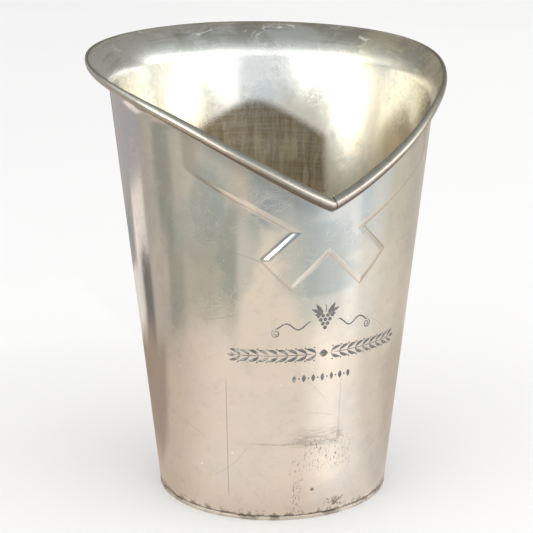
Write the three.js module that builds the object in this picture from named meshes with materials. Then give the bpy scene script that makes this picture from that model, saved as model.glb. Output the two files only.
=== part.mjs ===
// A one-bottle champagne bucket in silver-grey sheet metal: a tapered wall whose mouth flares outwards at
// the back and sides and drops to a V at the front, with a half-round moulding soldered over its edge, two
// crossed bands pressed into the wall under the V, and a flat disc soldered in as the base.
// Millimetres, +Z up. The origin is the centre of the base's underside and the V faces -Y.
// Everything is symmetric about the plane x = 0. Angles round the wall are measured from the V.

import * as THREE from "three";

const degrees = THREE.MathUtils.degToRad;

// ---- Driving dimensions ----

const baseRadius = 62.2; // outside of the wall's cone, carried down to the table
const taper = degrees(6.0); // half-angle of the cone
const sheet = 1.2; // thickness of the wall

const edgeHeightAtV = 176.6; // the wall's upper edge, at the bottom of the V
const edgeHeightAtBack = 239.2;
const edgeSpread = degrees(69.5); // how far round from the V the edge does most of its climb
const edgeSharpness = 1.1; // 1 gives straight arms at the V, more rounds its very tip

const flareRadius = 20.0; // the mouth's outward curl, in a plane through the axis
const flareTurn = degrees(67); // how far the wall turns outwards at the back
const flareSpread = degrees(88); // how far round from the V the flare does most of its growing
const flareSharpness = 1.6;

const reliefHeight = 1.1; // how far the crossed bands are pressed out
const reliefSlope = 2.8; // width of the slope at their edges
const bandDrop = 25.0; // lower edge of the band that follows the rim, below the wall's edge
const bandFades = degrees(34); // the band's lower edge starts to die away here
const bandGone = degrees(50);
const tailRootDrop = 12.2; // where the centre lines of the crossing tails meet, below the V's edge
const tailAngle = degrees(44.5); // below the horizontal
const tailLength = 36.1;
const tailWidth = 20.2;

const mouldingRise = 1.5; // the moulding's top, above the wall's edge
const mouldingHeight = 6.6;
const mouldingReach = 3.3; // its outermost point, from the middle of the sheet
const clearance = 0.3; // between soldered pieces

const discThickness = 2.4;
const discEdgeRound = 0.6;
const solderLeg = 2.5;

// ---- Shape of the wall ----

function smoothRise(x, low, high) {
  const t = Math.min(Math.max((x - low) / (high - low), 0), 1);
  return t * t * (3 - 2 * t);
}

// How much of a change from the V to the back has happened by an angle: 0 at the V and 1 at the back.
function growth(angle, spread, sharpness) {
  const at = (a) => Math.tanh((a / spread) ** sharpness);
  return at(Math.abs(angle)) / at(Math.PI);
}

function edgeHeight(angle) {
  const climb = growth(angle, edgeSpread, edgeSharpness);
  return edgeHeightAtV + (edgeHeightAtBack - edgeHeightAtV) * climb;
}

// How far the wall leans outwards from the vertical at its edge.
function edgeLean(angle) {
  return taper + flareTurn * growth(angle, flareSpread, flareSharpness);
}

const wallFoot = discThickness + clearance;
const midRadius = (z) => baseRadius + z * Math.tan(taper) - sheet / 2 / Math.cos(taper);

// The middle of the sheet in the plane through the axis at an angle: straight up the cone, then an arc.
// The length runs along the sheet from its foot. Returns radius, height and lean from the vertical.
function wallLine(angle) {
  const lean = edgeLean(angle);
  const arcHeight = flareRadius * (Math.sin(lean) - Math.sin(taper));
  const arcStart = edgeHeight(angle) - arcHeight;
  const straight = (arcStart - wallFoot) / Math.cos(taper);
  const length = straight + flareRadius * (lean - taper);
  function at(distance) {
    if (distance <= straight) {
      const z = wallFoot + distance * Math.cos(taper);
      return { r: midRadius(z), z, lean: taper };
    }
    const turned = taper + (distance - straight) / flareRadius;
    return {
      r: midRadius(arcStart) + flareRadius * (Math.cos(taper) - Math.cos(turned)),
      z: arcStart + flareRadius * (Math.sin(turned) - Math.sin(taper)),
      lean: turned,
    };
  }
  return { length, at };
}

// ---- The pressed bands ----

const tailRoot = edgeHeightAtV - tailRootDrop;

// Signed distance into a tail, a rectangle that runs down and outwards from the tails' root.
function insideTail(across, z) {
  const along = across * Math.cos(tailAngle) + (tailRoot - z) * Math.sin(tailAngle);
  const aside = across * Math.sin(tailAngle) - (tailRoot - z) * Math.cos(tailAngle);
  return Math.min(tailLength - along, tailWidth / 2 - Math.abs(aside), along + tailWidth);
}

function relief(angle, r, z) {
  const across = Math.abs(angle) * r;
  const step = degrees(1);
  const rise = edgeHeight(Math.abs(angle) + step) - edgeHeight(angle);
  const steepness = Math.atan2(rise, step * r);
  const insideBand = (z - edgeHeight(angle) + bandDrop) * Math.cos(steepness);
  const shown = 1 - smoothRise(Math.abs(angle), bandFades, bandGone);
  const lift = (depth) => smoothRise(depth, -reliefSlope / 2, reliefSlope / 2);
  return reliefHeight * Math.max(lift(insideBand) * shown, lift(insideTail(across, z)));
}

// ---- Surfaces swept round the mouth ----

const stepsRound = 96;
const crowding = 0.6; // 0 spaces the steps evenly, and 1 would crowd them all on to the V

// A LatheGeometry whose every vertex is then put in place: a closed section of count points, carried
// round from the back to the V and on to the back again.
function shapedLathe(count, place) {
  const ring = Array.from({ length: count + 1 }, (_, j) => {
    const turn = (2 * Math.PI * j) / count;
    return new THREE.Vector2(baseRadius + Math.cos(turn), Math.sin(turn));
  });
  const lathe = new THREE.LatheGeometry(ring, stepsRound);
  const position = lathe.attributes.position;
  for (let i = 0; i <= stepsRound; i += 1) {
    const even = (2 * Math.PI * (i % stepsRound)) / stepsRound - Math.PI;
    const angle = even - crowding * Math.sin(even);
    for (let j = 0; j <= count; j += 1) {
      const { r, z } = place(angle, j % count);
      position.setXYZ(i * (count + 1) + j, r * Math.sin(angle), -r * Math.cos(angle), z);
    }
  }
  lathe.deleteAttribute("normal");
  lathe.deleteAttribute("uv");
  return lathe;
}

// Steps up the sheet: few below the pressed bands, many through them, and more through the flare.
const plainSteps = 3;
const bandSteps = 13;
const flareSteps = 5;
const rowCount = plainSteps + bandSteps + flareSteps + 1;

function rowDistance(row, length) {
  const plainTop = tailRoot - tailLength - wallFoot;
  const flareFoot = length - flareRadius * flareTurn;
  if (row < plainSteps) return (plainTop * row) / plainSteps;
  const past = row - plainSteps;
  if (past < bandSteps) return plainTop + ((flareFoot - plainTop) * past) / bandSteps;
  return flareFoot + ((length - flareFoot) * (past - bandSteps)) / flareSteps;
}

// The section goes up the outside of the sheet and down the inside.
function wall() {
  return shapedLathe(2 * rowCount, (angle, j) => {
    const line = wallLine(angle);
    const outside = j < rowCount;
    const row = outside ? j : 2 * rowCount - 1 - j;
    const { r, z, lean } = line.at(rowDistance(row, line.length));
    const out = (outside ? sheet / 2 : -sheet / 2) + relief(angle, r, z);
    return { r: r + out * Math.cos(lean), z: z - out * Math.sin(lean) };
  });
}

// The moulding's section, as points { out, up } from the middle of the sheet's edge: half an ellipse
// that hooks over the edge, with its inner top corner rounded.
function mouldingSection() {
  const up = mouldingHeight / 2;
  const middle = mouldingRise - up;
  const back = sheet / 2 + clearance;
  const foot = Math.acos(back / mouldingReach);
  const ellipseSteps = 10;
  const points = [];
  for (let k = 0; k <= ellipseSteps; k += 1) {
    const t = Math.PI / 2 - ((Math.PI / 2 + foot) * k) / ellipseSteps;
    points.push({ out: mouldingReach * Math.cos(t), up: middle + up * Math.sin(t) });
  }
  points.push({ out: back, up: clearance });
  points.push({ out: -sheet / 2, up: clearance });
  const round = sheet / 2;
  const roundSteps = 3;
  for (let k = 0; k < roundSteps; k += 1) {
    const t = Math.PI - (Math.PI / 2) * (k / roundSteps);
    points.push({ out: round * Math.cos(t), up: mouldingRise - round + round * Math.sin(t) });
  }
  return points.reverse();
}

// On the sloping arms of the V a section in a plane through the axis is longer than the true one.
function armStretch(angle) {
  const step = degrees(0.5);
  const place = (a) => {
    const line = wallLine(a);
    const { r, z } = line.at(line.length);
    return new THREE.Vector3(r * Math.sin(a), -r * Math.cos(a), z);
  };
  const away = Math.abs(angle);
  const along = place(away + step).sub(place(away)).normalize();
  const lean = edgeLean(away);
  const up = new THREE.Vector3(
    Math.sin(lean) * Math.sin(away),
    -Math.sin(lean) * Math.cos(away),
    Math.cos(lean),
  );
  return 1 / along.cross(up).length();
}

// The section follows the sheet: it bends with the flare and stands out with the pressed bands.
function moulding() {
  const section = mouldingSection();
  return shapedLathe(section.length, (angle, j) => {
    const line = wallLine(angle);
    const edge = line.at(line.length);
    const { out, up } = section[j];
    const { r, z, lean } = line.at(line.length + up * armStretch(angle));
    const away = out + relief(angle, edge.r, edge.z);
    return { r: r + away * Math.cos(lean), z: z - away * Math.sin(lean) };
  });
}

// ---- The base ----

// LatheGeometry turns about +Y, and the bucket stands along +Z.
function turned(profile, segments) {
  return new THREE.LatheGeometry(profile, segments).rotateX(Math.PI / 2);
}

function baseDisc() {
  const radius = baseRadius + wallFoot * Math.tan(taper);
  const corner = (z, from) =>
    [0, 1, 2, 3].map((k) => {
      const t = from + (Math.PI / 2) * (k / 3);
      return new THREE.Vector2(
        radius - discEdgeRound + discEdgeRound * Math.cos(t),
        z + discEdgeRound * Math.sin(t),
      );
    });
  const profile = [
    new THREE.Vector2(0, 0),
    ...corner(discEdgeRound, -Math.PI / 2),
    ...corner(discThickness - discEdgeRound, 0),
    new THREE.Vector2(0, discThickness),
  ];
  return turned(profile, 64);
}

// The fillet of solder in the corner between disc and wall: two legs and a hollow face.
function baseSolder() {
  const foot = wallFoot;
  const inside = (z) => midRadius(z) - (sheet / 2 + clearance) / Math.cos(taper);
  const hollow = [1, 2, 3].map((k) => {
    const t = (Math.PI / 2) * (k / 4);
    return new THREE.Vector2(
      inside(foot) - solderLeg * (1 - Math.sin(t)),
      foot + solderLeg * (1 - Math.cos(t)),
    );
  });
  const profile = [
    new THREE.Vector2(inside(foot) - solderLeg, foot),
    new THREE.Vector2(inside(foot), foot),
    new THREE.Vector2(inside(foot + solderLeg), foot + solderLeg),
    ...hollow.reverse(),
    new THREE.Vector2(inside(foot) - solderLeg, foot),
  ];
  return turned(profile, 64);
}

// ---- Materials and assembly ----

const silver = new THREE.MeshStandardMaterial({ color: 0xcfc6ba, roughness: 0.2, metalness: 1 });
const rimSilver = new THREE.MeshStandardMaterial({ color: 0xc9c2b4, roughness: 0.16, metalness: 1 });
const discSilver = new THREE.MeshStandardMaterial({ color: 0xb5aa98, roughness: 0.32, metalness: 1 });
const solder = new THREE.MeshStandardMaterial({ color: 0x8f8b84, roughness: 0.45, metalness: 1 });

const bucket = new THREE.Group();
function add(name, geometry, material) {
  const mesh = new THREE.Mesh(geometry, material);
  mesh.name = name;
  bucket.add(mesh);
}

add("bucket_wall", wall(), silver);
add("rim_moulding", moulding(), rimSilver);
add("base_disc", baseDisc(), discSilver);
add("base_solder_fillet", baseSolder(), solder);

export default bucket;
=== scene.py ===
import math

import bpy
import numpy as np
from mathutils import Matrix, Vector


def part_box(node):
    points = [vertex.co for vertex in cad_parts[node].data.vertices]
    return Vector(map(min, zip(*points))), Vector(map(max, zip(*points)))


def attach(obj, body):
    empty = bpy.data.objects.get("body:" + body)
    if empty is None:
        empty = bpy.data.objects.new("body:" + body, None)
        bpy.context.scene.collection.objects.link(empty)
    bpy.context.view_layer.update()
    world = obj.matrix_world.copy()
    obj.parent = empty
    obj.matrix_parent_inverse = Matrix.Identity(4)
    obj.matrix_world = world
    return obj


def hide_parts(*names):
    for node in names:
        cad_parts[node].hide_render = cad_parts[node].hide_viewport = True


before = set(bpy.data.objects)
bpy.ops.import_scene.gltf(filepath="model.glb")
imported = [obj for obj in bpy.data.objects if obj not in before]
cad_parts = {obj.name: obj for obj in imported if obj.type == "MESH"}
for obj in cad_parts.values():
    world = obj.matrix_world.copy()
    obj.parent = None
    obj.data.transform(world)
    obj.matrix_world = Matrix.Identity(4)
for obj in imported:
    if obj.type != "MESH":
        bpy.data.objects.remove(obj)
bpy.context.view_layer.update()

MM = 0.001

# ---- The wall ----
# One sheet of silver-plated metal, rolled to a cone. Its mouth is raised outwards at the back and sides and
# cut down to a V at the front, where two crossed bands are pressed out from the inside. It is soldered to
# the base disc, and the moulding covers its cut edge.

SHEET = 1.2 * MM
GAP = 0.3 * MM  # between soldered pieces
_, disc_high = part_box("base_disc")
wall_low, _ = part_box("bucket_wall")
TAPER = math.radians(6.0)
FOOT = wall_low.z
BASE_RADIUS = disc_high.x - disc_high.z * math.tan(TAPER) - GAP * math.tan(TAPER)

V_HEIGHT = 176.6 * MM
BACK_HEIGHT = 239.2 * MM
CLIMB = (math.radians(69.5), 1.1)  # spread and sharpness of the edge's climb away from the V
FLARE = (math.radians(88), 1.6)  # the same for the flare's growth
FLARE_RADIUS = 20.0 * MM
FLARE_TURN = math.radians(67)

RELIEF = 1.1 * MM  # how far the bands are pressed out
RELIEF_SLOPE = 3.4 * MM  # width of their sloping edges
BAND_DROP = 25.0 * MM
BAND_FADES = (math.radians(29), math.radians(56))
TAIL_ROOT = V_HEIGHT - 12.2 * MM
TAIL_ANGLE = math.radians(44.5)
TAIL_LENGTH = 36.1 * MM
TAIL_WIDTH = 20.2 * MM


def smooth_rise(x, low, high):
    """0 below low, 1 above high, and a cubic with level ends between them."""
    t = np.clip((x - low) / (high - low), 0, 1)
    return t * t * (3 - 2 * t)


def growth(angle, spread, sharpness):
    """How much of a change from the V to the back has happened by an angle: tanh of the angle over the
    spread, raised to the sharpness, as a share of its value at the back."""
    return np.tanh((np.abs(angle) / spread) ** sharpness) / math.tanh((math.pi / spread) ** sharpness)


def edge_height(angle):
    return V_HEIGHT + (BACK_HEIGHT - V_HEIGHT) * growth(angle, *CLIMB)


def edge_lean(angle):
    return TAPER + FLARE_TURN * growth(angle, *FLARE)


def mid_radius(z):
    return BASE_RADIUS + z * math.tan(TAPER) - SHEET / 2 / math.cos(TAPER)


def straight_length(angle):
    """Length up the cone from the foot to where the flare's arc starts."""
    arc_height = FLARE_RADIUS * (np.sin(edge_lean(angle)) - math.sin(TAPER))
    return (edge_height(angle) - arc_height - FOOT) / math.cos(TAPER)


def sheet_length(angle):
    return straight_length(angle) + FLARE_RADIUS * (edge_lean(angle) - TAPER)


def sheet_line(angle, distance):
    """Radius, height and lean of the middle of the sheet at a distance up from its foot: straight up the
    cone, then along an arc that leans further outwards."""
    straight = straight_length(angle)
    on_cone = np.minimum(distance, straight)
    lean = TAPER + np.maximum(distance - straight, 0) / FLARE_RADIUS
    z = FOOT + on_cone * math.cos(TAPER)
    radius = mid_radius(z) + FLARE_RADIUS * (math.cos(TAPER) - np.cos(lean))
    return radius, z + FLARE_RADIUS * (np.sin(lean) - math.sin(TAPER)), lean


def relief(angle, radius, z):
    """Height of the pressed bands, from 0 to 1: the band along the V and the two crossing tails, whichever
    is higher, each rising over its sloping edge by the distance inside its outline."""
    step = math.radians(1)
    across = np.abs(angle) * radius
    rise = edge_height(np.abs(angle) + step) - edge_height(angle)
    inside_band = (z - edge_height(angle) + BAND_DROP) * np.cos(np.arctan2(rise, step * radius))
    down = TAIL_ROOT - z
    along = across * math.cos(TAIL_ANGLE) + down * math.sin(TAIL_ANGLE)
    aside = across * math.sin(TAIL_ANGLE) - down * math.cos(TAIL_ANGLE)
    inside_tail = np.minimum(TAIL_LENGTH - along, TAIL_WIDTH / 2 - np.abs(aside))
    inside_tail = np.minimum(inside_tail, along + TAIL_WIDTH)
    half = RELIEF_SLOPE / 2
    band = smooth_rise(inside_band, -half, half) * (1 - smooth_rise(np.abs(angle), *BAND_FADES))
    return np.maximum(band, smooth_rise(inside_tail, -half, half))


def offset(angle, line, out):
    """Points that stand off the sheet's middle line by out, along the sheet's outward normal."""
    radius, z, lean = line
    radius = radius + out * np.cos(lean)
    z = z - out * np.sin(lean)
    return np.stack([radius * np.sin(angle), -radius * np.cos(angle), z], axis=-1)


CROWDING = 0.6  # how strongly the grid's angles crowd together at the V
END_INSET = 0.2 * MM  # how far the first and last rows, and the broken corners, are from the cut edges


def angles_round(count):
    """Angles from the back round to the back again, crowded together at the V."""
    even = np.linspace(-math.pi, math.pi, count, endpoint=False)
    return even - CROWDING * np.sin(even)


def ring_mesh(name, points):
    """A closed surface from a grid of points: the first index goes round the bucket and the second round
    the section, and both close on themselves."""
    rings, count = points.shape[:2]
    index = np.arange(rings * count).reshape(rings, count)
    following = np.roll(index, -1, axis=0)
    faces = np.stack(
        [index, following, np.roll(following, -1, axis=1), np.roll(index, -1, axis=1)], axis=-1
    )
    return piece_from(name, points.reshape(-1, 3), faces.reshape(-1, 4))


def piece_from(name, points, faces):
    """A smooth-shaded object at the origin, made from points and faces."""
    mesh = bpy.data.meshes.new(name)
    mesh.from_pydata(points.tolist(), [], faces if isinstance(faces, list) else faces.tolist())
    mesh.polygons.foreach_set("use_smooth", np.ones(len(mesh.polygons), bool))
    mesh.update()
    piece = bpy.data.objects.new(name, mesh)
    bpy.context.scene.collection.objects.link(piece)
    return piece


def add_attribute(piece, name, values):
    """One number for each of the piece's points, for its material to read."""
    attribute = piece.data.attributes.new(name, "FLOAT", "POINT")
    attribute.data.foreach_set("value", np.ascontiguousarray(values, np.float32).ravel())


def rows_up(length, plain, banded, flared):
    """Distances up the sheet: so many plain rows up to the tails' ends, closer rows through the bands, and
    closer still through the flare."""
    tails_end = TAIL_ROOT - TAIL_LENGTH - FOOT
    flare_foot = length - FLARE_RADIUS * FLARE_TURN
    parts = [
        np.linspace(END_INSET, tails_end, plain, endpoint=False)[None, :] + 0 * length,
        tails_end + (flare_foot - tails_end) * np.linspace(0, 1, banded, endpoint=False)[None, :],
        flare_foot + (length - END_INSET - flare_foot) * np.linspace(0, 1, flared)[None, :],
    ]
    return np.concatenate(parts, axis=1)


def wall_points():
    """The sheet's outside from foot to edge and its inside back down, each pushed out by the relief, with
    the corners of its cut edges just broken. Also, for each point, the relief, the distance from the edge
    and whether it is on the inside."""
    angle = angles_round(420)[:, None]
    length = sheet_length(angle)
    outside = rows_up(length, 20, 56, 36)
    inside = rows_up(length, 14, 42, 32)[:, ::-1]
    ends = np.concatenate([length, length], axis=1)
    distance = np.concatenate([0 * length, outside, ends, inside, 0 * length], axis=1)
    flat = SHEET / 2 - END_INSET
    outs = [flat] + [SHEET / 2] * outside.shape[1] + [flat, -flat] + [-SHEET / 2] * inside.shape[1] + [-flat]
    line = sheet_line(angle, distance)
    lift = relief(angle, line[0], line[1])
    outs = np.array(outs)[None, :] + 0 * length
    return offset(angle, line, outs + RELIEF * lift), lift, length - distance, outs < 0


points, lift, from_edge, inner = wall_points()
wall = ring_mesh("wall", points)
add_attribute(wall, "lift", lift)
add_attribute(wall, "from_edge", from_edge)
add_attribute(wall, "inner", inner)


class Wire:
    """A node's output that takes part in sums: each operation on it adds one Math node."""

    def __init__(self, shader, socket):
        self.shader = shader
        self.socket = socket

    def math(self, operation, *others):
        inputs = dict(enumerate([self, *others]))
        return self.shader.add("ShaderNodeMath", {"operation": operation}, inputs)

    def __add__(self, other):
        return self.math("ADD", other)

    def __sub__(self, other):
        return self.math("SUBTRACT", other)

    def __mul__(self, other):
        return self.math("MULTIPLY", other)

    def __rsub__(self, other):
        return self.math("MULTIPLY", -1) + other

    __radd__ = __add__
    __rmul__ = __mul__

    def over(self, low, high):
        """0 below low and 1 above high, or the other way round, with a smooth rise between."""
        settings = {"interpolation_type": "SMOOTHSTEP"}
        return self.shader.add("ShaderNodeMapRange", settings, {0: self, 1: low, 2: high})


class Shader:
    """The nodes of one material, or of the world."""

    def __init__(self, owner, coordinates="Object"):
        owner.use_nodes = True
        self.owner = owner
        self.tree = owner.node_tree
        self.tree.nodes.clear()
        self.place = self.add("ShaderNodeTexCoord", output=coordinates)
        self.x, self.y, self.z = self.axes(self.place)

    def add(self, kind, settings=None, inputs=None, output=0):
        """Any node: its type, its settings, and then what its sockets hold or are linked to."""
        node = self.tree.nodes.new(kind)
        for key, value in (settings or {}).items():
            setattr(node, key, value)
        for key, value in (inputs or {}).items():
            if isinstance(value, Wire):
                self.tree.links.new(value.socket, node.inputs[key])
            else:
                node.inputs[key].default_value = value
        return Wire(self, node.outputs[output])

    def attribute(self, name):
        return self.add("ShaderNodeAttribute", {"attribute_name": name}, output="Fac")

    def axes(self, vector):
        split = self.add("ShaderNodeSeparateXYZ", inputs={0: vector})
        return [Wire(self, output) for output in split.socket.node.outputs]

    def stretched(self, x, y, z):
        """Places scaled along the axes, so that a pattern on them is drawn out where the scale is small."""
        return self.add("ShaderNodeVectorMath", {"operation": "MULTIPLY"}, {0: self.place, 1: (x, y, z)})

    def noise(self, vector, scale, detail=2.0, roughness=0.5, distortion=0.0):
        inputs = {
            "Vector": vector,
            "Scale": scale,
            "Detail": detail,
            "Roughness": roughness,
            "Distortion": distortion,
        }
        return self.add("ShaderNodeTexNoise", inputs=inputs)

    def blend(self, amount, first, second):
        """A colour part of the way from the first to the second. Each is linked or red, green and blue."""
        first, second = [tone if isinstance(tone, Wire) else (*tone, 1) for tone in (first, second)]
        inputs = {0: amount, 6: first, 7: second}
        return self.add("ShaderNodeMix", {"data_type": "RGBA"}, inputs, output=2)

    def layered(self, colour, layers):
        """A colour with each of the layers, an amount and a tone, laid over it in turn."""
        for amount, tone in layers:
            colour = self.blend(amount, colour, tone)
        return colour

    def bump(self, height, strength, distance, normal=None):
        """The normal of a surface raised by a height, over any bump before it."""
        inputs = {"Strength": strength, "Distance": distance, "Height": height}
        if normal:
            inputs["Normal"] = normal
        return self.add("ShaderNodeBump", inputs=inputs)

    def finish(self, piece, **inputs):
        """Give the piece this material, with a principled surface that has these inputs."""
        inputs = {key.replace("_", " ").title(): value for key, value in inputs.items()}
        surface = self.add("ShaderNodeBsdfPrincipled", inputs=inputs)
        self.put_out("ShaderNodeOutputMaterial", surface)
        piece.data.materials.append(self.owner)

    def put_out(self, kind, surface):
        self.tree.links.new(surface.socket, self.tree.nodes.new(kind).inputs["Surface"])


def scratches(shader, flat, angles, scale, length):
    """Hairline scratches on a surface, given its two own coordinates: noise drawn out along each angle and
    cut to its thin crests, more in some places than in others."""
    found = None
    for angle in angles:
        inputs = {"Vector": flat, "Rotation": (0, 0, angle), "Scale": (length, 1.0, 1.0)}
        turned = shader.add("ShaderNodeMapping", {"vector_type": "TEXTURE"}, inputs)
        crest = shader.noise(turned, scale, detail=0.0).over(0.68, 0.78)
        found = crest if found is None else found.math("MAXIMUM", crest)
    return found * shader.noise(shader.place, 45.0, detail=2.0).over(0.42, 0.60)


def curls(shader, scale, width):
    """Short curved marks: where a slow noise crosses its middle value, kept here and there."""
    level = shader.noise(shader.place, scale, detail=1.0, distortion=0.6)
    here = (level - 0.5).math("ABSOLUTE").over(width, 0.3 * width)
    return here * shader.noise(shader.place, 1.6 * scale, detail=0.0).over(0.56, 0.62)


def pits(shader, scale, size, share):
    """Small round pits scattered one to a cell, in a share of the cells."""
    inputs = {"Vector": shader.place, "Scale": scale}
    distance = shader.add("ShaderNodeTexVoronoi", inputs=inputs, output="Distance")
    chance, _, _ = shader.axes(shader.add("ShaderNodeTexVoronoi", inputs=inputs, output="Color"))
    return distance.over(size * scale, 0.4 * size * scale) * chance.over(share, share * 0.9)


def span(value, start, full, fades, gone):
    """0 up to start, 1 from full to where it fades, and 0 again from where it is gone, in millimetres."""
    return value.over(start * MM, full * MM) * value.over(gone * MM, fades * MM)


# Single long scratches on the unrolled wall: both ends, in millimetres round from the V and up, and how far
# the middle bows to one side.
HAIRLINES = [
    ((-19, 89), (4, 66), 1.5),
    ((-59, 22), (-36, 46), -3.0),
    ((-78, 52), (-60, 44), 1.0),
    ((-52, 150), (-30, 143), 1.5),
    ((-66, 112), (-44, 118), -1.0),
    ((20, 112), (42, 99), 2.0),
    ((-8, 62), (9, 58), 0.6),
    ((26, 30), (48, 44), -2.0),
    ((62, 80), (90, 66), 3.0),
    ((100, 120), (128, 128), -2.5),
    ((-128, 96), (-96, 84), 2.0),
    ((150, 60), (186, 74), 3.0),
]
HAIRLINE_WIDTH = 0.34


def hairline(along, up, start, end, bow):
    """One scratch between two points: narrow about a line plus a parabola of the distance along it, and
    fading at both ends."""
    (s0, z0), (s1, z1) = start, end
    length = math.hypot(s1 - s0, z1 - z0)
    cos, sin = (s1 - s0) / length, (z1 - z0) / length
    s = along * (1 / MM) - s0
    z = up * (1 / MM) - z0
    far = s * cos + z * sin
    side = z * cos - s * sin + far * (far - length) * (4 * bow / length**2)
    line = side.math("ABSOLUTE").over(HAIRLINE_WIDTH, 0.35 * HAIRLINE_WIDTH)
    return line * far.over(0, 0.2 * length) * far.over(length, 0.8 * length)


# Oval patches of painted reflection on the outside, cooler and greyer than the metal: the distance round
# and the height of the middle, and the half width and half height, in millimetres.
REFLECTION_PATCHES = [(-5, 154, 22, 13), (-5, 136, 22, 12), (-47, 150, 11, 26), (-62, 176, 10, 22), (-24, 170, 16, 8)]


class WallShader(Shader):
    """The wall's nodes, with the places and the noises that its marks share. Arc is the distance round
    from the V. Across and beyond are level distances from the axis, to the right and away as seen from
    the camera's side of the bucket, in a frame that is fixed to the bucket."""

    TURNED = (0.93, 0.36)  # cosine and sine of the 21 degrees from the V to the camera's side

    def __init__(self, owner):
        super().__init__(owner)
        cos, sin = self.TURNED
        self.angle = self.x.math("ARCTAN2", self.y * -1)
        self.arc = self.angle * (self.z * math.tan(TAPER) + BASE_RADIUS)
        self.across = self.x * cos - self.y * sin
        self.beyond = self.x * sin + self.y * cos
        self.lift = self.attribute("lift")
        self.from_edge = self.attribute("from_edge")
        self.inside = self.attribute("inner")
        self.outside = 1 - self.inside
        self.flare = self.from_edge.over(24 * MM, 8 * MM) * self.inside
        self.cloud = self.noise(self.place, 24.0, detail=5.0, roughness=0.62)
        self.fine = self.noise(self.place, 170.0, detail=4.0, roughness=0.6)
        self.grime = self.noise(self.place, 260.0, detail=5.0, roughness=0.65)
        self.drawn = self.noise(self.stretched(1, 1, 0.05), 300.0, detail=3.0)
        self.rubbed = self.noise(self.stretched(0.06, 0.06, 1), 480.0, detail=3.0)
        self.ticks = self.noise(self.stretched(0.16, 0.16, 1), 900.0, detail=4.0, roughness=0.7)
        self.wobble = self.noise(self.place, 60.0, detail=3.0) - 0.5
        self.shake = (self.fine - 0.5) * 0.4 * MM
        self.busy = self.patch(-14, 154, 46, 30)

    def patch(self, s, up, wide, high, soft=0.35, wander=0):
        """An oval patch on the unrolled wall, centred at a distance round and a height, both in
        millimetres, and pushed about by a noise that wanders so far."""
        shift = self.wobble * wander * MM
        dx = ((self.arc + shift) * (1 / MM) - s) * (1 / wide)
        dz = ((self.z + shift) * (1 / MM) - up) * (1 / high)
        return (dx * dx + dz * dz).math("SQRT").over(1 + soft, 1 - soft)

    def rubbed_lines(self):
        """Fine scratches in every direction all over, and closer ones under the V where it is wiped most."""
        flat = self.add("ShaderNodeCombineXYZ", inputs={0: self.arc, 1: self.z, 2: self.inside})
        lines = scratches(self, flat, [0.15, 0.55, -0.4, 1.1, -1.2, 1.6], 1900.0, 20.0)
        worked = scratches(self, flat, [0.05, 0.32, -0.22, 0.7, 1.3], 1400.0, 16.0) * self.busy
        return lines.math("MAXIMUM", worked * self.outside)

    def hairlines(self):
        found = 0 * self.z
        for start, end, bow in HAIRLINES:
            found = found.math("MAXIMUM", hairline(self.arc, self.z, start, end, bow))
        return found * self.outside

    def creases(self):
        """Two upright creases low on the front, the first leaning a little and the second fainter."""
        place = self.arc + 48.6 * MM + self.shake + (self.z - 45 * MM) * 0.05
        first = place.math("ABSOLUTE").over(0.45 * MM, 0.15 * MM) * span(self.z, 10, 18, 74, 84)
        second = (self.arc - 11.0 * MM + self.shake).math("ABSOLUTE").over(0.40 * MM, 0.15 * MM)
        return first.math("MAXIMUM", second * span(self.z, 38, 46, 76, 84) * 0.6) * self.outside

    def foot_dirt(self):
        """Dirt in the joint with the base, ragged above it and nearly unbroken in the last millimetre."""
        ragged = self.z.over(7 * MM, 2.5 * MM) * self.grime.over(0.50, 0.60)
        joint = self.z.over(3.7 * MM, 3.0 * MM) * self.grime.over(0.42, 0.52) * 0.8
        return ragged.math("MAXIMUM", joint) * self.outside

    def smear(self):
        """A grey smear low on the front: a thick part, and a thin tail that runs off to its left."""
        thick = span(self.z, 40, 45, 46, 55) * span(self.arc, -20, -6, 10, 16)
        tail = (self.z + self.shake * 2 - 44.5 * MM).math("ABSOLUTE").over(1.1 * MM, 0.3 * MM)
        tail = tail * span(self.arc, -44, -20, -8, 0)
        broken = 0.30 + self.ticks.over(0.46, 0.58) + self.grime.over(0.52, 0.62) * 0.6
        return ((thick + tail * 0.7) * broken).math("MINIMUM", 1.0) * self.outside

    def low_pits(self):
        """Short dark pits in a patch under the smear and in a narrow column below its left end."""
        found = self.noise(self.stretched(1, 1, 0.4), 1000.0, detail=3.0, roughness=0.7).over(0.57, 0.62)
        patch = span(self.z, 24, 34, 44, 50) * span(self.arc, -12, -4, 12, 24)
        column = span(self.arc, -16, -13, -9, -6) * self.z.over(38 * MM, 30 * MM)
        return found * patch.math("MAXIMUM", column) * self.outside

    def stains(self):
        """A ragged stain beside the foot and a round spot 2 mm across, low on the front."""
        ragged = span(self.z, 4, 6, 9, 11) * span(self.arc, 4, 7, 15, 19) * self.grime.over(0.52, 0.56)
        dx = self.arc + 2.5 * MM
        dz = self.z - 17 * MM
        spot = (dx * dx + dz * dz).math("SQRT").over(1.2 * MM, 0.7 * MM)
        return ragged.math("MAXIMUM", spot) * self.outside

    def haze_and_reflections(self, lines):
        """The oval patches of painted reflection with wandering outlines, a faint hazy film elsewhere, and
        scratches through both.
        """
        found = self.noise(self.place, 12.0, detail=4.0, roughness=0.6).over(0.55, 0.63) * 0.45
        for place in REFLECTION_PATCHES:
            found = found.math("MAXIMUM", self.patch(*place, soft=0.2, wander=18))
        thickness = 0.42 + 0.5 * (self.cloud + self.rubbed) + self.fine * 0.3 - lines * 0.4
        return found * thickness.math("MINIMUM", 1.0)

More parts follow.
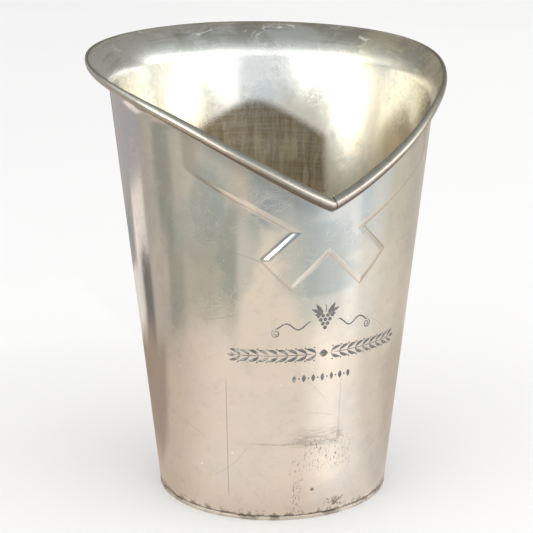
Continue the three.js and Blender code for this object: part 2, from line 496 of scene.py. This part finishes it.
    def back_shadow(self):
        """A dark area painted inside the back, in place of what the metal reflects there towards the camera's
        side. It has the shape of the V upside down: two slopes down from a rounded peak, fading out towards
        the bottom, with a faint weave in it. From other sides it reads as tarnish."""
        slope = self.across + 10 * MM + self.shake * 3
        peak = self.z + (slope * slope + 0.0001).math("SQRT") * 0.62
        found = peak.over(207 * MM, 200 * MM) * span(self.across, -62, -42, 27, 34)
        found = found * (self.z - self.wobble * 40 * MM).over(118 * MM, 150 * MM)
        weave = self.noise(self.stretched(1, 1, 0.04), 800.0)
        weave = weave + self.noise(self.stretched(0.04, 0.04, 1), 800.0)
        return found * self.beyond.over(0.0, 20 * MM) * self.inside * (0.90 + 0.10 * weave.over(0.9, 1.15))

    def lining(self, brushed, shadow):
        """The colour of the inside, partly in place of what it reflects towards the camera's side: bright and
        grey to the left and yellower to the right and downwards, with dull streaks round the flare and the
        dark area across the back."""
        mottle = self.noise(self.place, 38.0, detail=5.0, roughness=0.65)
        # The inside is yellower to the right and downwards, partly tarnish, made patchy here, and partly
        # painted reflection.
        tarnish = self.noise(self.place, 9.0, detail=4.0, roughness=0.6).over(0.40, 0.66)
        warm = self.across.over(20 * MM, 60 * MM) * (0.60 + 0.4 * tarnish)
        warm = warm + self.z.over(170 * MM, 80 * MM) * 0.4
        dull = self.flare * mottle.over(0.42, 0.60) * self.across.over(-88 * MM, -48 * MM)
        murk = (self.drawn + self.cloud).over(0.90, 1.20) * 0.6 + self.across.over(8 * MM, 28 * MM) * 0.35
        dusk = self.blend(self.z.over(196 * MM, 162 * MM), (0.23, 0.19, 0.14), (0.52, 0.43, 0.295))
        dusk = self.blend(murk, dusk, (0.20, 0.165, 0.11))
        return self.layered(
            (0.92, 0.915, 0.89),
            [
                (warm.math("MINIMUM", 1.0), (0.90, 0.80, 0.58)),
                (self.fine.over(0.48, 0.75) * 0.4, (0.66, 0.63, 0.55)),
                (mottle.over(0.50, 0.62) * 0.4, (0.66, 0.68, 0.69)),
                (dull * 0.75, (0.58, 0.55, 0.48)),
                (self.flare * brushed.over(0.50, 0.68) * 0.5, (0.50, 0.47, 0.41)),
                (shadow, dusk),
            ],
        )


def wall_finish():
    """Worn silver: a polished skin, scratched outside with a faint hazy film and cooler patches of painted
    reflection, and tarnished inside, where its colour is partly painted reflection, with dirt in its
    corners, marks low on the front, and faint upright facets left by rolling. A painted shade under the
    lip's left arm and a line along the band's edges stand in for darker reflections."""
    shader = WallShader(bpy.data.materials.new("worn silver wall"))
    lines = shader.rubbed_lines()
    hairs = shader.hairlines()
    folds = shader.creases()
    smeared = shader.smear()
    pitted = shader.low_pits()
    foot = shader.foot_dirt()
    shadow = shader.back_shadow()
    specks = pits(shader, 130.0, 0.30 * MM, 0.3)
    sparks = pits(shader, 240.0, 0.8 * MM, 0.30) * shader.fine.over(0.52, 0.58)
    sparks = sparks * shader.busy * shader.outside
    nicks = pits(shader, 90.0, 1.2 * MM, 0.25)
    nicks = nicks * shader.noise(shader.stretched(1, 1, 3), 240.0).over(0.5, 0.58)
    nicks = nicks + curls(shader, 60.0, 0.016) * shader.flare * 0.9
    round_edge = shader.add("ShaderNodeCombineXYZ", inputs={0: shader.angle * 0.006, 1: shader.from_edge})
    brushed = shader.noise(round_edge, 500.0, detail=4.0, roughness=0.6)
    lip_shade = shader.from_edge.over(15 * MM, 6 * MM) * span(shader.arc, -86, -60, -12, 0) * shader.outside
    # A painted reflection: a thin darker line along the pressed bands' edges.
    band_edge_reflection = shader.lift.over(0.0, 0.05) * shader.lift.over(0.34, 0.12) * shader.outside
    lip_dirt = shader.from_edge.over(6.6 * MM, 5.0 * MM) * shader.outside * shader.grime.over(0.30, 0.55)

    outside = shader.layered(
        shader.blend(shader.cloud.over(0.36, 0.66), (0.80, 0.755, 0.70), (0.73, 0.715, 0.69)),
        [
            # Oval patches of painted reflection over a faint hazy film, in a cool grey.
            (shader.haze_and_reflections(lines), (0.60, 0.62, 0.61)),
            (shader.fine.over(0.5, 0.75) * 0.35, (0.60, 0.58, 0.55)),
        ],
    )
    colour = shader.layered(
        shader.blend(shader.inside, outside, shader.lining(brushed, shadow)),
        [
            (specks * 0.55, (0.28, 0.26, 0.23)),
            (lines * 0.14 + nicks * 0.8 + sparks * 0.8, (0.95, 0.94, 0.91)),
            (hairs * 0.34, (0.45, 0.43, 0.40)),
            (folds * 0.50, (0.36, 0.33, 0.29)),
            (smeared * 0.55, (0.32, 0.33, 0.33)),
            (pitted * 0.7, (0.20, 0.18, 0.16)),
            (shader.stains() * 0.8, (0.14, 0.12, 0.10)),
            (band_edge_reflection * 0.40, (0.34, 0.30, 0.26)),
            (lip_shade * (0.2 + 0.5 * shader.cloud), (0.36, 0.36, 0.35)),
            (lip_dirt * 0.75, (0.24, 0.21, 0.17)),
            (foot * 0.8, (0.20, 0.18, 0.15)),
        ],
    )
    rough = 0.02 + shader.cloud * 0.08 + shader.fine * 0.05 + shader.drawn * 0.04 + shader.rubbed * 0.03
    rough = rough + lines * 0.12 + smeared * 0.12 + foot * 0.3 + lip_dirt * 0.2
    rough = rough + shader.inside * 0.09 + shadow * 0.08
    rough = rough + shader.flare * (0.06 + 0.16 * brushed) + nicks * 0.4

    facets = shader.noise(shader.stretched(1, 1, 0.22), 26.0, detail=1.5)
    dents = shader.noise(shader.stretched(1, 1, 0.6), 60.0, detail=4.0, roughness=0.62) * shader.inside
    normal = shader.bump(facets + dents * 0.13, 0.7, 1.0 * MM)
    normal = shader.bump(shader.drawn + shader.rubbed * 0.8 + shader.fine, 0.10, 0.05 * MM, normal)
    marks = lines * -0.5 - specks - sparks * 2 - pitted - hairs * 0.8 - folds * 1.5 - nicks * 3
    normal = shader.bump(marks, 0.35, 0.04 * MM, normal)
    shader.finish(wall, base_color=colour, metallic=1.0, roughness=rough, normal=normal)


wall_finish()
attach(wall, "root")
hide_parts("bucket_wall")

# ---- The rim moulding ----
# A half-round strip of the same metal, bent to the wall's cut edge, hooked over it and soldered down all
# the way round. Its two ends meet in a mitre at the tip of the V.

MOULDING_RISE = 1.5 * MM
MOULDING_HEIGHT = 6.6 * MM
MOULDING_REACH = 3.3 * MM
RIM_STEPS = 640


def moulding_section():
    """Half an ellipse outside the sheet, a step back to the sheet's face, a flat over its edge and a
    rounded inner top corner, as distances out from the sheet's middle and up from its edge."""
    up = MOULDING_HEIGHT / 2
    back = SHEET / 2 + GAP
    foot = math.acos(back / MOULDING_REACH)
    turn = np.linspace(math.pi / 2, -foot, 26)
    face = np.stack([MOULDING_REACH * np.cos(turn), MOULDING_RISE - up + up * np.sin(turn)], axis=1)
    under = face[-1] + np.array([[0.0, 0.35 * MM]])
    hook = np.array([[back, GAP - 0.25 * MM], [back, GAP], [-SHEET / 2, GAP], [-SHEET / 2, GAP + 0.2 * MM]])
    turn = np.linspace(math.pi, math.pi / 2, 7, endpoint=False)
    corner = np.stack([np.cos(turn), np.sin(turn) - 1], axis=1) * SHEET / 2 + [0, MOULDING_RISE]
    return np.concatenate([face, under, hook, corner])[::-1]


def arm_stretch(angle):
    """How much longer the moulding's section is in a plane through the axis than square to the edge: one
    over the length of the cross product of the edge's direction and the sheet's upward direction."""
    step = math.radians(0.5)
    away = np.abs(angle)
    here = offset(away, sheet_line(away, sheet_length(away)), 0)
    there = offset(away + step, sheet_line(away + step, sheet_length(away + step)), 0)
    along = there - here
    along = along / np.linalg.norm(along, axis=-1, keepdims=True)
    lean = edge_lean(away)
    up = np.stack([np.sin(lean) * np.sin(away), -np.sin(lean) * np.cos(away), np.cos(lean)], axis=-1)
    return 1 / np.linalg.norm(np.cross(along, up), axis=-1)


def moulding_points():
    """The section carried round the edge, bent with the flare and standing out with the bands."""
    angle = angles_round(RIM_STEPS)[:, None]
    section = moulding_section()
    edge = sheet_line(angle, sheet_length(angle))
    up = section[None, :, 1] * arm_stretch(angle)
    out = section[None, :, 0] + RELIEF * relief(angle, edge[0], edge[1])
    return offset(angle, sheet_line(angle, sheet_length(angle) + up), out)


rim = ring_mesh("rim", moulding_points())
section = moulding_section() + 0 * angles_round(RIM_STEPS)[:, None, None]
add_attribute(rim, "out", section[..., 0])
add_attribute(rim, "up", section[..., 1])


def rim_finish():
    """Duller silver than the wall's, lightest on top, with a painted reflection of the table that makes it
    pinker lower down and a painted shade with some grime that makes it dark underneath; darker along the
    inner edge, with a dark line in the mitre."""
    shader = Shader(bpy.data.materials.new("worn silver rim"))
    out = shader.attribute("out")
    up = shader.attribute("up")
    cloud = shader.noise(shader.place, 40.0, detail=4.0, roughness=0.6)
    fine = shader.noise(shader.place, 220.0, detail=4.0, roughness=0.6)
    lines = scratches(shader, shader.place, [0.2, 0.9, 1.7, 2.6], 1000.0, 25.0)
    specks = pits(shader, 260.0, 0.36 * MM, 0.3)
    shake = (fine - 0.5) * 1.2 * MM
    # Painted shade with some grime: the lower part of the section is dark.
    under = (up + shake).over(-1.3 * MM, -3.0 * MM)
    # A painted reflection of the table: pinker from just above the section's middle down.
    pink_reflection = (up + shake).over(0.6 * MM, -0.8 * MM)
    inner = (out + shake * 0.6).over(0.9 * MM, -0.1 * MM)
    mitre = (shader.x + (up - 1.5 * MM) * 0.3 - 0.5 * MM).math("ABSOLUTE").over(0.34 * MM, 0.16 * MM)
    mitre = mitre * shader.y.over(0, -20 * MM)
    colour = shader.layered(
        (0.67, 0.63, 0.565),
        [
            (cloud.over(0.35, 0.7), (0.52, 0.49, 0.43)),
            (fine.over(0.5, 0.72) * 0.5, (0.38, 0.345, 0.28)),
            (pink_reflection * 0.6, (0.62, 0.52, 0.45)),
            (inner * 0.65, (0.46, 0.43, 0.36)),
            (specks * 0.6, (0.25, 0.23, 0.20)),
            (under * 0.92, (0.17, 0.14, 0.115)),
            (mitre * 0.9, (0.08, 0.07, 0.06)),
        ],
    )
    rough = 0.20 + cloud * 0.10 + fine * 0.08 + lines * 0.15 + under * 0.2 + mitre * 0.3
    normal = shader.bump(shader.noise(shader.place, 80.0, detail=2.0), 0.4, 0.15 * MM)
    normal = shader.bump(lines * -1 - specks - mitre * 3 + fine * 0.5, 0.35, 0.05 * MM, normal)
    shader.finish(rim, base_color=colour, metallic=1.0, roughness=rough, normal=normal)


rim_finish()
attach(rim, "root")
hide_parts("rim_moulding")

# ---- The base disc ----
# A flat disc of the same metal, cut to the wall's foot and soldered under it. Its edge shows as a thin
# line round the foot, and its underside is scoured by the tables it has stood on.

DISC_ROUND = 0.6 * MM


def turned_points(profile, count):
    """A profile of radius and height carried once round the axis."""
    angle = np.linspace(-math.pi, math.pi, count, endpoint=False)[:, None]
    radius, z = profile[None, :, 0], profile[None, :, 1]
    return np.stack([radius * np.sin(angle), -radius * np.cos(angle), z + 0 * angle], axis=-1)


def disc_points():
    """The disc's section turned round the axis: out along the underside, round the quarter circles of its
    edge and back along the top. It stops just short of the axis on both faces."""
    radius = disc_high.x
    thickness = disc_high.z
    quarter = np.linspace(-math.pi / 2, 0, 6)
    edge = DISC_ROUND * np.stack([np.cos(quarter) - 1, np.sin(quarter) + 1], axis=1)
    lower = edge + [radius, 0]
    upper = lower[::-1] * [1, -1] + [0, thickness]
    spread = np.linspace(0.02, 0.995, 24)[:, None] * (radius - DISC_ROUND)
    under = np.concatenate([spread, 0 * spread], axis=1)
    over = np.concatenate([spread[::-1], 0 * spread + thickness], axis=1)
    return turned_points(np.concatenate([under, lower, upper, over]), 256)


def disc_piece(name):
    """The turned section as quads, with a fan of triangles to a pole in the middle of each face."""
    points = disc_points()
    rings, count = points.shape[:2]
    index = np.arange(rings * count).reshape(rings, count)
    following = np.roll(index, -1, axis=0)
    quads = np.stack([index[:, :-1], following[:, :-1], following[:, 1:], index[:, 1:]], axis=-1)
    poles = np.arange(2)[:, None] * np.ones(rings, int) + rings * count
    under = np.stack([poles[0], following[:, 0], index[:, 0]], axis=1)
    over = np.stack([poles[1], index[:, -1], following[:, -1]], axis=1)
    points = np.concatenate([points.reshape(-1, 3), [[0, 0, 0], [0, 0, disc_high.z]]])
    return piece_from(name, points, quads.reshape(-1, 4).tolist() + under.tolist() + over.tolist())


base = disc_piece("base")


def base_finish():
    """Dull silver with turning rings, scoured by many short scratches and dark along its edge."""
    shader = Shader(bpy.data.materials.new("worn silver base"))
    x, y, z = shader.x, shader.y, shader.z
    radius = (x * x + y * y).math("SQRT")
    cloud = shader.noise(shader.place, 30.0, detail=4.0, roughness=0.6)
    lines = scratches(shader, shader.place, [0.0, 0.5, 1.3, 2.2, 2.8], 900.0, 30.0)
    dull = shader.noise(shader.place, 120.0, detail=5.0).over(0.45, 0.62)
    edge = radius.over(56 * MM, 61 * MM)
    rings = shader.noise(shader.add("ShaderNodeCombineXYZ", inputs={0: radius}), 900.0, detail=3.0)
    joint = z.over(1.3 * MM, 2.1 * MM) * edge
    colour = shader.layered(
        (0.72, 0.67, 0.60),
        [
            (cloud.over(0.35, 0.7), (0.62, 0.59, 0.54)),
            (dull * (0.12 + edge * 0.5), (0.26, 0.23, 0.19)),
            (joint * (0.22 + 0.5 * dull), (0.20, 0.175, 0.15)),
            (lines * 0.3, (0.85, 0.83, 0.80)),
        ],
    )
    rough = 0.22 + cloud * 0.15 + dull * 0.18 + lines * 0.1 + edge * 0.12 + joint * 0.2
    normal = shader.bump(rings + lines * -0.6, 0.2, 0.05 * MM)
    shader.finish(base, base_color=colour, metallic=1.0, roughness=rough, normal=normal)


base_finish()
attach(base, "root")
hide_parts("base_disc")

# ---- The solder ----
# A fillet of soft solder run into the corner between disc and wall. It is dull grey, and it was drawn
# round by hand, so its face ripples.

SOLDER_LEG = 2.5 * MM


def solder_points():
    """A hollow fillet between two legs: its face is a quarter circle, and ripples a little round the ring."""
    angle = np.linspace(-math.pi, math.pi, 360, endpoint=False)[:, None]
    corner = mid_radius(FOOT) - (SHEET / 2 + GAP) / math.cos(TAPER)
    lean = math.tan(TAPER)
    quarter = np.linspace(math.pi / 2, 0, 9)[None, :]
    ripple = 1 - 0.06 * (1 + np.sin(23 * angle) * np.sin(7 * angle + 1))
    leg = SOLDER_LEG * ripple
    face_r = corner - leg * (1 - np.sin(quarter))
    face_z = FOOT + leg * (1 - np.cos(quarter))
    face_r = face_r + (face_z - FOOT) * lean * np.sin(quarter)
    radius = np.concatenate([corner + 0 * angle, face_r], axis=1)
    height = np.concatenate([FOOT + 0 * angle, face_z], axis=1)
    return np.stack([radius * np.sin(angle), -radius * np.cos(angle), height], axis=-1)


solder = ring_mesh("solder", solder_points())


def solder_finish():
    """Dull grey with a fine grain."""
    shader = Shader(bpy.data.materials.new("soft solder"))
    cloud = shader.noise(shader.place, 200.0, detail=4.0)
    grain = shader.noise(shader.place, 900.0, detail=3.0)
    colour = shader.blend(cloud.over(0.35, 0.65), (0.50, 0.48, 0.45), (0.34, 0.32, 0.29))
    normal = shader.bump(cloud + grain * 0.3, 0.5, 0.15 * MM)
    shader.finish(solder, base_color=colour, metallic=1.0, roughness=0.35 + grain * 0.3, normal=normal)


solder_finish()
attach(solder, "root")
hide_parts("base_solder_fillet")

# ---- The engraved ornament ----
# A sprig of grapes with two tendrils, a branch of leaves and a row of lozenges, cut into the front of the
# wall under the bands and filled with dark wax, which has worn thin in places.

FILL_RISE = 0.035 * MM
FILL_DEPTH = 0.05 * MM
# Heights of the bunch's top row, the tendrils, the branch and the lozenges up the wall, in millimetres.
BUNCH, TENDRILS, BRANCH, LOZENGES = 115.5, 110.6, 94.7, 79.4


def stroke(line, half_width):
    """A closed strip that follows a line of points on the wall's face, each a distance round from the V
    and a height, in millimetres. It is widest by its half-widths, and domed across."""
    line = np.asarray(line, float)
    ahead = np.gradient(line, axis=0)
    ahead = ahead / np.linalg.norm(ahead, axis=1, keepdims=True)
    square = np.stack([-ahead[:, 1], ahead[:, 0]], axis=1)
    across = np.array([-1.0, -1.0, 0.0, 1.0, 1.0])
    rise = np.array([-FILL_DEPTH, 0.4 * FILL_RISE, FILL_RISE, 0.4 * FILL_RISE, -FILL_DEPTH])
    flat = line[:, None, :] + square[:, None, :] * (np.asarray(half_width)[:, None] * across)[..., None]
    z = flat[..., 1] * MM
    angle = flat[..., 0] * MM / (BASE_RADIUS + z * math.tan(TAPER))
    on_cone = (mid_radius(z), z, TAPER + 0 * z)
    points = offset(angle, on_cone, SHEET / 2 + rise[None, :])
    stations, count = flat.shape[:2]
    index = np.arange(stations * count).reshape(stations, count)
    beside = np.roll(index, -1, axis=1)
    quads = np.stack([index[:-1], beside[:-1], beside[1:], index[1:]], axis=-1).reshape(-1, 4)
    return points.reshape(-1, 3), quads.tolist() + [index[0, ::-1].tolist(), index[-1].tolist()]


ALONG = np.linspace(0, 1, 15)
SWELL = np.maximum(np.sin(math.pi * ALONG), 0.03)


def leaf(s, z, length, width, angle, bend=0.0):
    """A pointed leaf from its foot: a line at an angle that bends, with half-widths that swell as a sine."""
    turn = math.radians(angle) + bend * (ALONG - 0.5)
    line = np.stack([s + length * ALONG * np.cos(turn), z + length * ALONG * np.sin(turn)], axis=1)
    return stroke(line, width / 2 * SWELL**0.85)


def dot(s, z, radius):
    """A round dot: a short line whose half-widths follow a circle."""
    step = -np.cos(math.pi * ALONG)
    line = np.stack([s + radius * step, z + 0 * step], axis=1)
    return stroke(line, radius * np.sqrt(np.maximum(1 - step**2, 0.001)))


def thread(s, z, width):
    """A thin line through points, with fine ends."""
    ends = np.minimum(1, 8 * SWELL[np.linspace(0, len(SWELL) - 1, len(s)).astype(int)])
    return stroke(np.stack([s, z], axis=1), width / 2 * ends)


def grapes():
    """A bunch that narrows downwards row by row, two leaves over it and a tendril to each side, which
    waves and ends in a curl."""
    strokes = []
    for row, count in enumerate([4, 3, 2, 1]):
        for k in range(count):
            strokes.append(dot((k - (count - 1) / 2) * 2.5, BUNCH - 2.2 * row, 1.05))
    strokes.append(thread(0.3 * np.sin(3 * ALONG), BUNCH + 1.5 + 4.6 * ALONG, 0.5))
    for side in (-1, 1):
        for angle, length in ((8, 6.6), (40, 6.0), (-26, 4.8)):
            turn = angle if side > 0 else 180 - angle
            strokes.append(leaf(side * 1.2, BUNCH + 2.1, length, 1.9, turn, side * 0.3))
        u = np.linspace(0, 1, 60)
        reach = 6.5 + 19.0 * u
        wave = TENDRILS + 2.1 * np.sin(2 * math.pi * (0.15 + 1.5 * u)) * (1 - 0.3 * u)
        strokes.append(thread(side * reach, wave, 0.75))
        v = np.linspace(0, 1, 40)
        spiral = 2.4 * (1 - 0.8 * v)
        around = 0.5 * math.pi - 3.4 * math.pi * v
        curl_s = 25.5 + spiral * np.cos(around)
        curl_z = wave[-1] - 2.4 + spiral * np.sin(around)
        strokes.append(thread(side * curl_s, curl_z, 0.6))
    return strokes


def branch():
    """A straight stem with paired leaves that point away from its middle, a berry in each fork, and a
    lozenge at the middle."""
    strokes = [leaf(-2.4, BRANCH, 4.8, 4.0, 0)]
    stem = np.linspace(2.6, 46.0, 30)
    for side in (-1, 1):
        strokes.append(thread(side * stem, BRANCH + 0 * stem, 0.45))
        for k in range(9):
            foot = side * (4.0 + 4.9 * k)
            for up in (-1, 1):
                turn = up * 40 if side > 0 else 180 - up * 40
                strokes.append(leaf(foot, BRANCH + 0.2 * up, 6.4, 1.7, turn, -side * up * 0.5))
                strokes.append(dot(foot + side * 1.0, BRANCH + up * 3.6, 0.45))
        strokes.append(leaf(side * 45.6, BRANCH, 4.6, 1.8, 0 if side > 0 else 180))
    return strokes


def lozenges():
    """Upright pointed lozenges with dots between them."""
    strokes = [leaf(5.0 * k, LOZENGES, 4.2, 2.0, 90) for k in range(-3, 4)]
    return strokes + [dot(5.0 * k + 2.5, LOZENGES + 2.1, 0.5) for k in range(-3, 3)]


def joined(strokes):
    """All the strokes' points and faces as one mesh's."""
    points, faces, start = [], [], 0
    for own, own_faces in strokes:
        points.append(own)
        faces += [[start + i for i in face] for face in own_faces]
        start += len(own)
    return np.concatenate(points), faces


ornament = piece_from("ornament", *joined(grapes() + branch() + lozenges()))


def ornament_finish():
    """Dark wax that shows bare metal where it has worn away, more so to the left."""
    shader = Shader(bpy.data.materials.new("worn dark fill"))
    worn = shader.noise(shader.place, 160.0, detail=4.0, roughness=0.7)
    left = shader.x.over(-10 * MM, -34 * MM)
    bare = (worn + left * 0.10).over(0.56, 0.66)
    colour = shader.blend(worn.over(0.3, 0.6), (0.085, 0.085, 0.09), (0.14, 0.135, 0.13))
    colour = shader.blend(bare * 0.8, colour, (0.50, 0.48, 0.45))
    normal = shader.bump(worn, 0.3, 0.03 * MM)
    rough = 0.42 + worn * 0.2
    shader.finish(ornament, base_color=colour, metallic=bare * 0.8, roughness=rough, normal=normal)


ornament_finish()
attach(ornament, "root")

# ---- The studio ----
# A pale floor in an even white light, with two broad soft panels to either side of the camera. The silver
# reflects another room: a sky with two bright windows, and a card on the floor that only reflections see.

FLOOR_HALF = 12.0
corners = np.array([[-1, -1, 0], [1, -1, 0], [1, 1, 0], [-1, 1, 0]]) * FLOOR_HALF
floor = piece_from("floor", corners, [[0, 1, 2, 3]])
floor_paint = Shader(bpy.data.materials.new("pale floor"))
floor_paint.finish(floor, base_color=(0.86, 0.86, 0.86, 1), roughness=0.9)

CARD_RADIUS = 3.5
CARD_HEIGHT = 0.2 * MM

# The card's tones in three rings: beside the foot, in the middle and further out. They are chosen
# for what the wall reflects. Each is full at its angle round from the V, in degrees.
NEAR_TONES = [
    (-180, (0.36, 0.29, 0.24)),
    (-120, (0.45, 0.35, 0.28)),
    (-108, (0.70, 0.58, 0.48)),
    (-55, (0.94, 0.83, 0.725)),
    (-6, (0.94, 0.83, 0.725)),
    (23, (1.28, 1.16, 1.05)),
    (36, (1.15, 1.05, 0.95)),
    (62, (0.82, 0.74, 0.66)),
    (95, (0.62, 0.54, 0.46)),
    (170, (0.40, 0.34, 0.30)),
]
MIDDLE_TONES = [
    (-180, (0.80, 0.76, 0.72)),
    (-149, (0.94, 0.86, 0.79)),
    (-143, (0.22, 0.20, 0.19)),
    (-132, (0.24, 0.22, 0.21)),
    (-126, (0.66, 0.57, 0.49)),
    (-108, (0.60, 0.54, 0.46)),
    (-103, (0.40, 0.39, 0.33)),
    (-94, (0.43, 0.42, 0.35)),
    (-87, (0.58, 0.54, 0.45)),
    (-80, (0.56, 0.52, 0.43)),
    (-49, (0.54, 0.53, 0.44)),
    (-42, (0.91, 0.82, 0.70)),
    (-12, (0.91, 0.82, 0.70)),
    (6, (0.70, 0.73, 0.68)),
    (24, (0.85, 0.87, 0.84)),
    (38, (1.15, 1.15, 1.10)),
    (52, (0.92, 0.90, 0.83)),
    (80, (0.82, 0.76, 0.66)),
    (110, (0.68, 0.61, 0.53)),
    (161, (0.68, 0.61, 0.53)),
    (165, (0.26, 0.24, 0.22)),
]
FAR_TONES = [
    (-180, (0.38, 0.37, 0.37)),
    (-156, (0.38, 0.37, 0.37)),
    (-152, (1.05, 0.96, 0.88)),
    (-131, (0.96, 0.88, 0.81)),
    (-127, (0.48, 0.45, 0.39)),
    (-115, (0.54, 0.51, 0.44)),
    (-110, (0.36, 0.36, 0.31)),
    (-101, (0.37, 0.37, 0.32)),
    (-94, (0.56, 0.54, 0.47)),
    (-80, (0.62, 0.59, 0.52)),
    (-60, (0.56, 0.58, 0.54)),
    (-42, (0.62, 0.57, 0.49)),
    (-30, (0.41, 0.46, 0.47)),
    (-6, (0.43, 0.49, 0.52)),
    (10, (0.74, 0.80, 0.86)),
    (28, (0.98, 1.02, 1.06)),
    (38, (0.98, 1.02, 1.06)),
    (47, (0.66, 0.76, 0.82)),
    (60, (0.80, 0.83, 0.82)),
    (80, (0.70, 0.67, 0.58)),
    (112, (0.60, 0.56, 0.49)),
    (161, (0.60, 0.56, 0.49)),
    (165, (0.26, 0.25, 0.24)),
]


def tones_round(shader, azimuth, stops):
    """A colour that changes smoothly with azimuth from each stop to the next."""
    tone = stops[0][1]
    for (start, _), (end, colour) in zip(stops, stops[1:]):
        tone = shader.blend(azimuth.over(start, end), tone, colour)
    return tone


def table_card():
    """A round card that lies on the floor and glows in tones that change round the bucket and outwards."""
    turn = np.linspace(0, 2 * math.pi, 96, endpoint=False)
    rim_points = CARD_RADIUS * np.stack([np.cos(turn), np.sin(turn), 0 * turn], axis=1)
    card = piece_from("table_card", rim_points + [0, 0, CARD_HEIGHT], [list(range(len(turn)))])
    shader = Shader(bpy.data.materials.new("table glow"))
    radius = (shader.x * shader.x + shader.y * shader.y).math("SQRT")
    slow = shader.noise(shader.place, 6.0, detail=3.0) - 0.5
    azimuth = shader.x.math("ARCTAN2", shader.y * -1) * (180 / math.pi) + slow * 10.0
    wander = radius + slow * 0.16
    near = tones_round(shader, azimuth, NEAR_TONES)
    # A painted shadow of the bucket: the card is darker close round the foot, more so round to the left.
    foot = radius.over(0.11, 0.06) * (0.45 + 0.5 * azimuth.over(-60, -92))
    near = shader.blend(foot, near, (0.60, 0.50, 0.42))
    tone = shader.blend(wander.over(0.235, 0.285), near, tones_round(shader, azimuth, MIDDLE_TONES))
    tone = shader.blend(wander.over(0.395, 0.435), tone, tones_round(shader, azimuth, FAR_TONES))
    dusk = radius.over(0.54, 0.61) * azimuth.over(-122, -128)
    tone = shader.blend(dusk, tone, (0.48, 0.455, 0.455))
    shader.put_out("ShaderNodeOutputMaterial", shader.add("ShaderNodeEmission", inputs={"Color": tone}))
    card.data.materials.append(shader.owner)
    card.visible_camera = False
    card.visible_diffuse = False
    card.visible_shadow = False
    card.visible_transmission = False


table_card()

CAMERA_AZIMUTH = math.radians(-21.19)
CAMERA_ELEVATION = math.radians(16.26)
CAMERA_DISTANCE = 0.964
TARGET = Vector((0, 0, 0.1157))


def toward(azimuth, elevation, distance, target=TARGET):
    """The point at a distance from the target, at an angle round from the V and one above the floor."""
    flat = math.cos(elevation)
    return target + distance * Vector(
        (math.sin(azimuth) * flat, -math.cos(azimuth) * flat, math.sin(elevation))
    )


def panel(name, azimuth, elevation, distance, width, height, power, colour):
    """A soft rectangular light that faces the bucket, placed round from the camera."""
    light = bpy.data.lights.new(name, "AREA")
    light.shape = "RECTANGLE"
    light.size, light.size_y = width, height
    light.energy = power
    light.color = colour
    holder = bpy.data.objects.new(name, light)
    bpy.context.scene.collection.objects.link(holder)
    holder.location = toward(CAMERA_AZIMUTH + math.radians(azimuth), math.radians(elevation), distance)
    holder.rotation_euler = (TARGET - holder.location).to_track_quat("-Z", "Y").to_euler()
    holder.visible_camera = False
    holder.visible_glossy = False


panel("right_window", 66, 6, 1.9, 3.0, 0.9, 27, (1.0, 0.99, 0.97))
panel("left_window", -43, 6, 1.9, 1.94, 0.9, 17, (1.0, 0.99, 0.96))


def soft_sky():
    """For reflections, two bright windows over the horizon, a light band above them, and a room that
    darkens towards the top and behind the bucket. For everything else, an even white."""
    world = bpy.data.worlds.new("soft sky")
    bpy.context.scene.world = world
    shader = Shader(world, "Generated")
    x, y, z = shader.x, shader.y, shader.z
    forward = x * math.sin(CAMERA_AZIMUTH) - y * math.cos(CAMERA_AZIMUTH)
    sideways = x * math.cos(CAMERA_AZIMUTH) + y * math.sin(CAMERA_AZIMUTH)
    turn = sideways.math("ARCTAN2", forward) * (180 / math.pi)
    front = shader.blend(z.over(0.26, 0.58), (1.25, 1.28, 1.27), (0.52, 0.56, 0.55))
    front = shader.blend(z.over(0.62, 0.93), front, (0.31, 0.33, 0.315))
    front = shader.blend(z.over(0.16, 0.06), front, (0.66, 0.72, 0.75))
    right = turn.over(23, 36) * turn.over(110, 96)
    left = turn.over(-12, -26) * turn.over(-76, -62)
    panes = z.over(0.0, 0.05) * z.over(0.33, 0.22)
    front = shader.blend(right * panes, front, (3.1, 3.05, 2.95))
    front = shader.blend(left * panes, front, (4.6, 4.5, 4.3))
    tone = shader.blend(forward.over(0.05, -0.65), front, (0.27, 0.26, 0.23))
    glossy = shader.add("ShaderNodeLightPath", output="Is Glossy Ray")
    tone = shader.blend(glossy, (1.05, 1.05, 1.05), tone)
    shader.put_out("ShaderNodeOutputWorld", shader.add("ShaderNodeBackground", inputs={"Color": tone}))


soft_sky()

SENSOR_WIDTH = 36.0
FOCAL_LENGTH = 120.2
SHIFT_ACROSS, SHIFT_UP = -0.0110, 0.0183

lens = bpy.data.cameras.new("camera")
lens.sensor_width = SENSOR_WIDTH
lens.lens = FOCAL_LENGTH
lens.shift_x = SHIFT_ACROSS
lens.shift_y = SHIFT_UP
lens.clip_start = 0.05
camera = bpy.data.objects.new("camera", lens)
bpy.context.scene.collection.objects.link(camera)
camera.location = toward(CAMERA_AZIMUTH, CAMERA_ELEVATION, CAMERA_DISTANCE)
camera.rotation_euler = (TARGET - camera.location).to_track_quat("-Z", "Y").to_euler()
bpy.context.scene.camera = camera
bpy.context.scene.view_settings.view_transform = "Standard"
